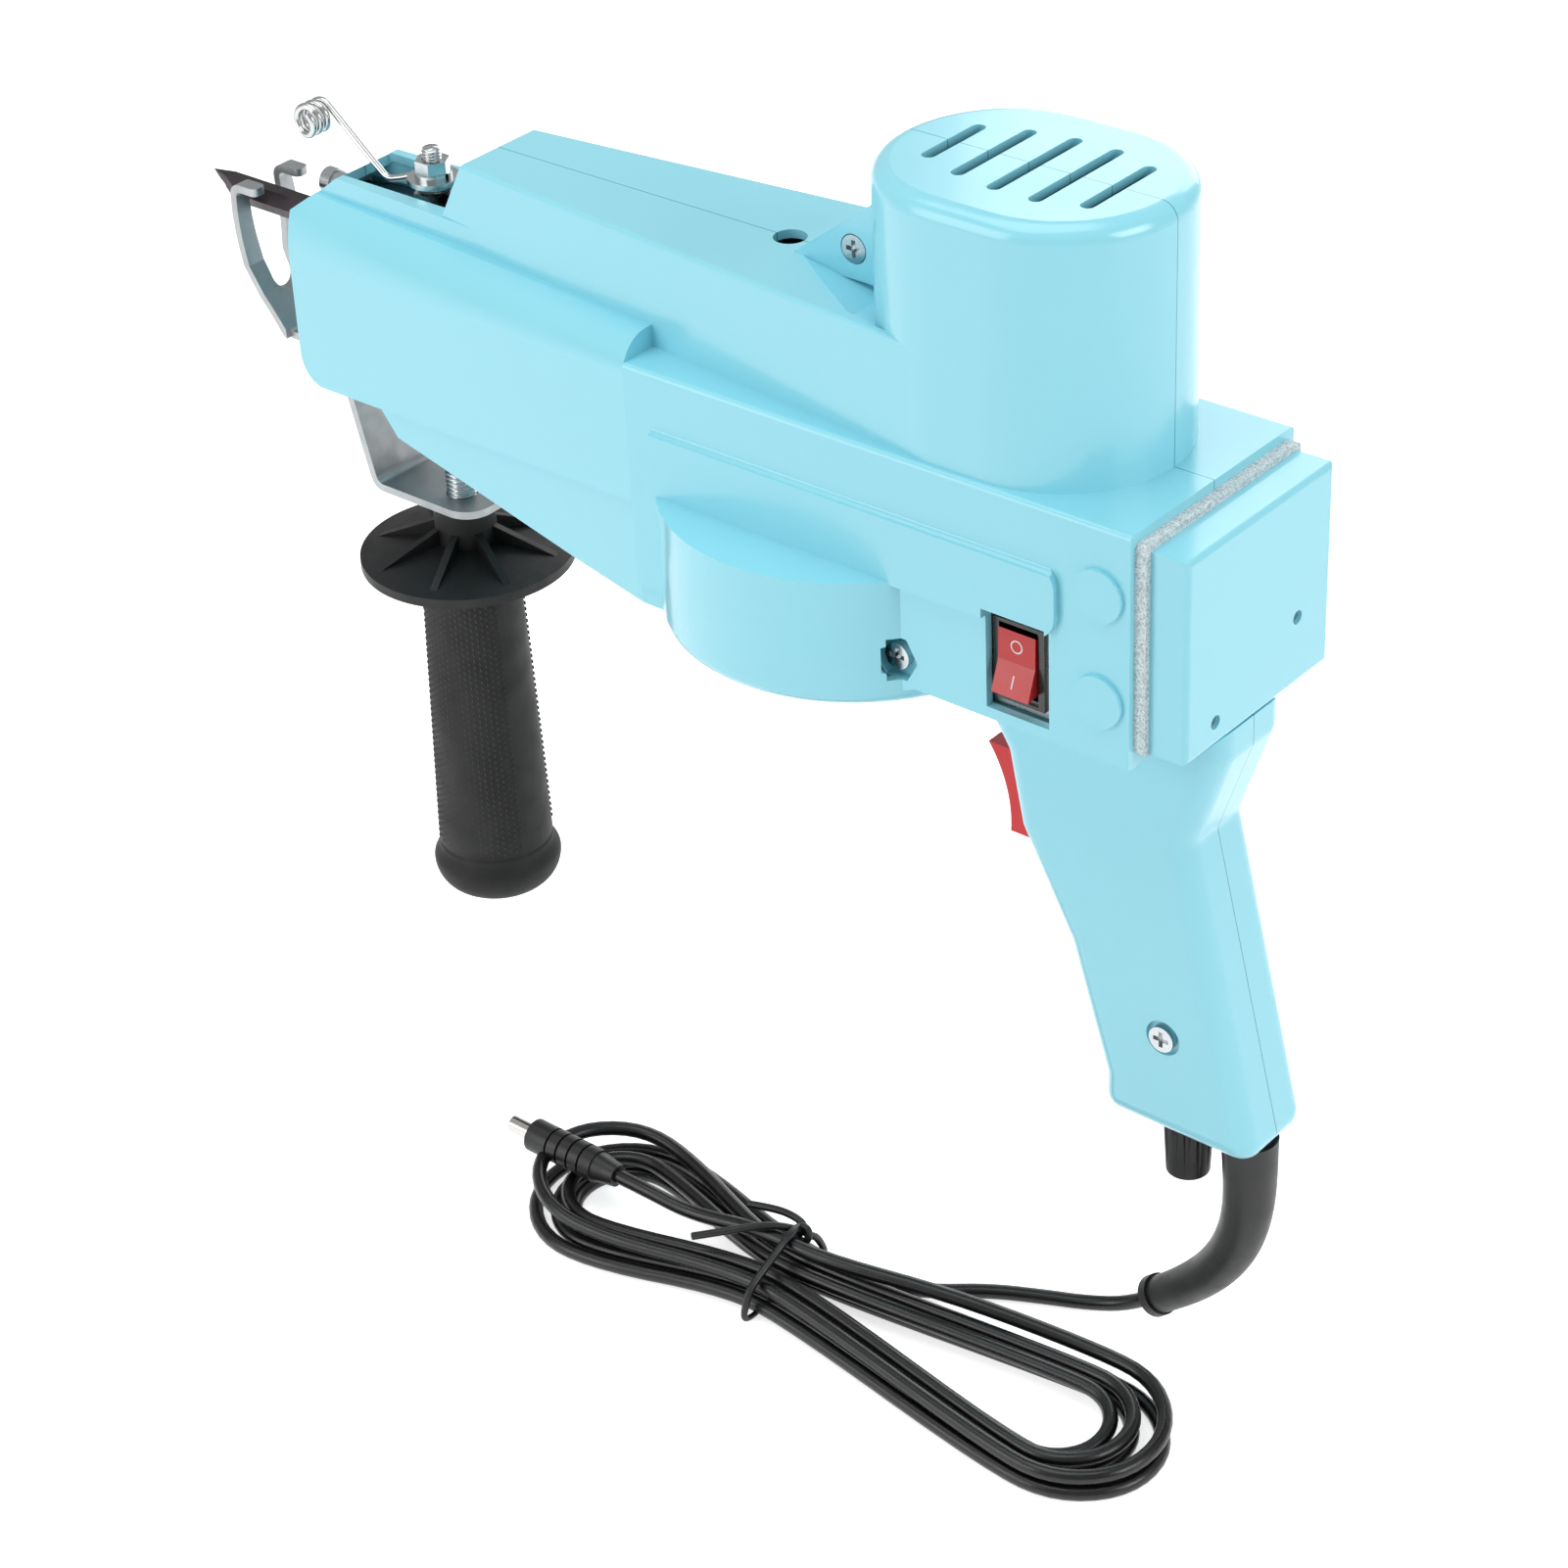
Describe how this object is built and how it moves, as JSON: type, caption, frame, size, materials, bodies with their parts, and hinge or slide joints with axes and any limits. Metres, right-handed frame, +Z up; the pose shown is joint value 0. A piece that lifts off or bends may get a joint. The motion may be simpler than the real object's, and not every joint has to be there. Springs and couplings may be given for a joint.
{
  "type": "handheld tufting machine",
  "caption": "Handheld electric tufting machine: cyan pistol-grip body, hollow needle with pronged presser foot, wire yarn guide, side handle, motor dome and a hanked low-voltage cord.",
  "frame": {"origin": "middle of the pistol grip, where the palm closes round it", "axes": "+X from the needle to the rear, along the needle's travel; +Y to the machine's right side; +Z up along the motor dome"},
  "size_m": [0.3965, 0.1373, 0.3649],
  "materials": {
    "body_plastic": "light cyan moulded ABS, glossy",
    "plate_plastic": "grey speckled sheet",
    "zinc_steel": "zinc plated steel",
    "needle_steel": "dark burnished steel",
    "bare_steel": "ground steel",
    "block_aluminium": "milled aluminium",
    "bushing_brass": "sintered bronze",
    "gear_plastic": "off-white nylon",
    "motor_steel": "drawn steel can",
    "black_plastic": "black moulded plastic",
    "bezel_metal": "thin bright edge round the switch",
    "control_steel": "plain steel shaft",
    "sleeve_rubber": "black knurled sleeve",
    "red_plastic": "glossy red",
    "cord_rubber": "black flexible jacket",
    "plug_chrome": "plated contact barrel"
  },
  "bodies": {
    "machine": {"left_shell": "body_plastic", "right_shell": "body_plastic", "rear_cap": "body_plastic", "rear_plate": "plate_plastic", "shell_screws": "zinc_steel", "grip_screw": "zinc_steel", "cap_screws": "zinc_steel", "motor_screws": "zinc_steel", "foot_screw": "zinc_steel", "bracket_screws": "zinc_steel", "guide_stud": "zinc_steel", "stud_spacer": "zinc_steel", "flat_washer": "zinc_steel", "spring_washer": "zinc_steel", "guide_nut": "zinc_steel", "handle_bracket": "zinc_steel", "handle_stud": "zinc_steel", "yarn_tube": "zinc_steel", "gear_bearings": "bare_steel", "guide_rods": "bare_steel", "front_block": "block_aluminium", "chassis_plate": "block_aluminium", "needle_bushing": "bushing_brass", "motor_can": "motor_steel", "motor_end_cap": "black_plastic", "side_handle": "black_plastic", "switch_frame": "black_plastic", "trigger_switch": "black_plastic", "speed_control": "black_plastic", "hank_tie": "black_plastic", "switch_plate": "bezel_metal", "handle_sleeve": "sleeve_rubber", "cord_boot": "cord_rubber", "cord_lead": "cord_rubber", "cord_hank": "cord_rubber", "cord_plug": "cord_rubber", "plug_barrel": "plug_chrome"},
    "gear_train": {"drive_gear": "gear_plastic", "gear_shaft": "bare_steel", "crank_disc": "bare_steel", "crank_pin": "bare_steel"},
    "motor_rotor": {"motor_shaft": "bare_steel", "motor_pinion": "bare_steel"},
    "needle_slider": {"needle": "needle_steel", "needle_carriage": "block_aluminium", "wrist_pin": "bare_steel"},
    "rod": {"connecting_rod": "block_aluminium"},
    "trigger": {"trigger": "red_plastic"},
    "rocker": {"switch_rocker": "red_plastic"},
    "knob": {"speed_knob": "black_plastic", "control_shaft": "control_steel"},
    "foot": {"presser_foot": "zinc_steel"},
    "wire_guide": {"yarn_guide": "zinc_steel"}
  },
  "joints": [
    {"name": "gear_spin", "type": "hinge", "parent": "machine", "child": "gear_train", "pos_m": [-0.1061, 0, 0.106], "axis": [0, 0, 1], "continuous": true},
    {"name": "motor_spin", "type": "hinge", "parent": "machine", "child": "motor_rotor", "pos_m": [-0.0461, 0, 0.106], "axis": [0, 0, 1], "continuous": true},
    {"name": "needle_slide", "type": "slide", "parent": "machine", "child": "needle_slider", "axis": [1, 0, 0], "range_m": [0, 0.026]},
    {"name": "rod_swing", "type": "hinge", "parent": "needle_slider", "child": "rod", "pos_m": [-0.1941, 0, 0.1357], "axis": [0, 0, 1], "range_deg": [-10, 10]},
    {"name": "trigger_pull", "type": "slide", "parent": "machine", "child": "trigger", "axis": [1, 0, 0], "range_m": [0, 0.005], "stiffness_N_per_m": 400},
    {"name": "switch_rock", "type": "hinge", "parent": "machine", "child": "rocker", "pos_m": [-0.0259, -0.0323, 0.1018], "axis": [1, 0, 0], "range_deg": [0, 22]},
    {"name": "speed_turn", "type": "hinge", "parent": "machine", "child": "knob", "pos_m": [0.007, 0, -0.06], "axis": [0, 0, 1], "range_deg": [0, 280]},
    {"name": "foot_depth", "type": "slide", "parent": "machine", "child": "foot", "axis": [1, 0, 0], "range_m": [-0.004, 0.004]},
    {"name": "guide_swivel", "type": "hinge", "parent": "machine", "child": "wire_guide", "pos_m": [-0.2632, 0, 0.1658], "axis": [0, 0, 1], "range_deg": [-20, 20]}
  ],
  "couplings": [
    {"joint": "motor_spin", "follows": "gear_spin", "ratio": -3.8}
  ]
}
